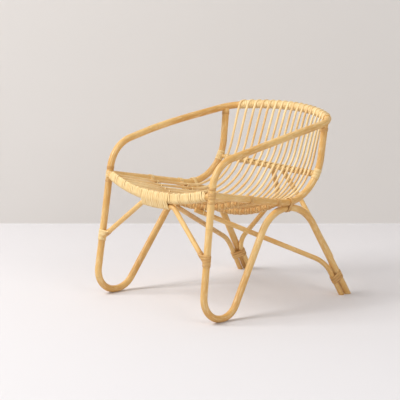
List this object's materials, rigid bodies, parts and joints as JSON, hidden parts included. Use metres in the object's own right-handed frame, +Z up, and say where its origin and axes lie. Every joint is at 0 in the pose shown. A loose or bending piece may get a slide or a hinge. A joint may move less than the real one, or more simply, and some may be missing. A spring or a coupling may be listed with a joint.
{
  "type": "rattan lounge chair",
  "caption": "Low lounge chair of bent rattan poles: one hoop makes back, arms and front legs, with looped feet and a seat of thin spindles bound with peel.",
  "frame": {"origin": "on the floor, under the middle of the chair's overall box", "axes": "+X across the chair to the sitter's left, -Y towards the front, +Z up"},
  "size_m": [0.6863, 0.8205, 0.7588],
  "materials": {
    "pole": "satin lacquered rattan pole",
    "thin_pole": "satin lacquered thin rattan pole",
    "spindle_cane": "satin lacquered peeled cane",
    "peel": "satin lacquered rattan peel"
  },
  "bodies": {
    "root": {"arch_wrap_left": "peel", "arch_wrap_right": "peel", "arm_hoop": "pole", "centre_wrap": "peel", "cross_rail_front": "pole", "cross_rail_front_binding": "peel", "cross_rail_rear": "pole", "cross_rail_rear_binding": "peel", "front_brace": "thin_pole", "front_rail": "pole", "front_rail_binding": "peel", "leg_loop_left": "pole", "leg_loop_right": "pole", "leg_ring_lower_left": "peel", "leg_ring_lower_right": "peel", "leg_ring_upper_left": "peel", "leg_ring_upper_right": "peel", "leg_wrap_left": "peel", "leg_wrap_right": "peel", "lumbar_rail": "pole", "lumbar_rail_binding": "peel", "rear_brace_left": "thin_pole", "rear_brace_right": "thin_pole", "rear_foot_wrap_left": "peel", "rear_foot_wrap_right": "peel", "side_rail_left": "pole", "side_rail_right": "pole", "side_tie_front_left": "peel", "side_tie_front_right": "peel", "side_tie_rear_left": "peel", "side_tie_rear_right": "peel", "spindle_01": "spindle_cane", "spindle_02": "spindle_cane", "spindle_03": "spindle_cane", "spindle_04": "spindle_cane", "spindle_05": "spindle_cane", "spindle_06": "spindle_cane", "spindle_07": "spindle_cane", "spindle_08": "spindle_cane", "spindle_09": "spindle_cane", "spindle_10": "spindle_cane", "spindle_11": "spindle_cane", "spindle_12": "spindle_cane", "spindle_13": "spindle_cane", "spindle_14": "spindle_cane", "spindle_15": "spindle_cane", "spindle_16": "spindle_cane", "spindle_17": "spindle_cane", "stile_ring_left": "peel", "stile_ring_right": "peel", "stile_wrap_left": "peel", "stile_wrap_right": "peel", "stretcher_left": "thin_pole", "stretcher_right": "thin_pole", "top_rail_binding": "peel"}
  },
  "joints": []
}
